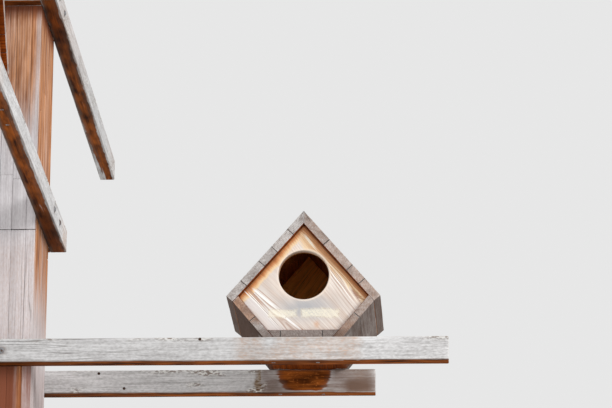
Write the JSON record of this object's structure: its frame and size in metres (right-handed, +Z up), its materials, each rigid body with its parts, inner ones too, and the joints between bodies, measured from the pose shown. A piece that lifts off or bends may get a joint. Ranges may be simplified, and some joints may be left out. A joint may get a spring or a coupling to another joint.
{
  "type": "wooden dovecote",
  "caption": "Tall square timber post carrying pairs of cantilevered arms at several levels, with pitched nest boxes that have a round entrance standing on them.",
  "frame": {"origin": "centre of the post's foot, at ground level", "axes": "+Z up along the post, +X along the right-hand pair of arms, +Y towards the back pair of arms, so the front pair runs along -Y"},
  "size_m": [2.54, 2.9, 5.45],
  "materials": {
    "core_timber": "sawn, untreated, shaded by the cladding",
    "post_boards": "planed softwood, bare, weathered orange-brown to grey",
    "arm_timber": "planed softwood, bare, weathered grey with orange-brown sheltered faces",
    "box_boards": "glued softwood board, bare, grey-beige edges and dark streaked outer faces",
    "box_panels": "glued softwood board, bare, pale cream with diagonal grain"
  },
  "bodies": {
    "root": {"back_long_arm": "arm_timber", "back_short_arm": "arm_timber", "back_tie": "arm_timber", "cladding_back_lower": "post_boards", "cladding_back_upper": "post_boards", "cladding_front_lower": "post_boards", "cladding_front_upper": "post_boards", "cladding_left_lower": "post_boards", "cladding_left_upper": "post_boards", "cladding_right_lower": "post_boards", "cladding_right_upper": "post_boards", "front_box_back_panel": "box_panels", "front_box_floor": "box_boards", "front_box_front_panel": "box_panels", "front_box_roof_left": "box_boards", "front_box_roof_right": "box_boards", "front_box_side_left": "box_boards", "front_box_side_right": "box_boards", "front_long_arm": "arm_timber", "front_short_arm": "arm_timber", "front_tie": "arm_timber", "left_box_back_panel": "box_panels", "left_box_floor": "box_boards", "left_box_front_panel": "box_panels", "left_box_roof_left": "box_boards", "left_box_roof_right": "box_boards", "left_box_side_left": "box_boards", "left_box_side_right": "box_boards", "left_long_arm": "arm_timber", "left_short_arm": "arm_timber", "left_tie": "arm_timber", "post_cap": "post_boards", "post_core": "core_timber", "right_box_back_panel": "box_panels", "right_box_floor": "box_boards", "right_box_front_panel": "box_panels", "right_box_roof_left": "box_boards", "right_box_roof_right": "box_boards", "right_box_side_left": "box_boards", "right_box_side_right": "box_boards", "right_long_arm": "arm_timber", "right_short_arm": "arm_timber", "right_tie": "arm_timber"}
  },
  "joints": []
}
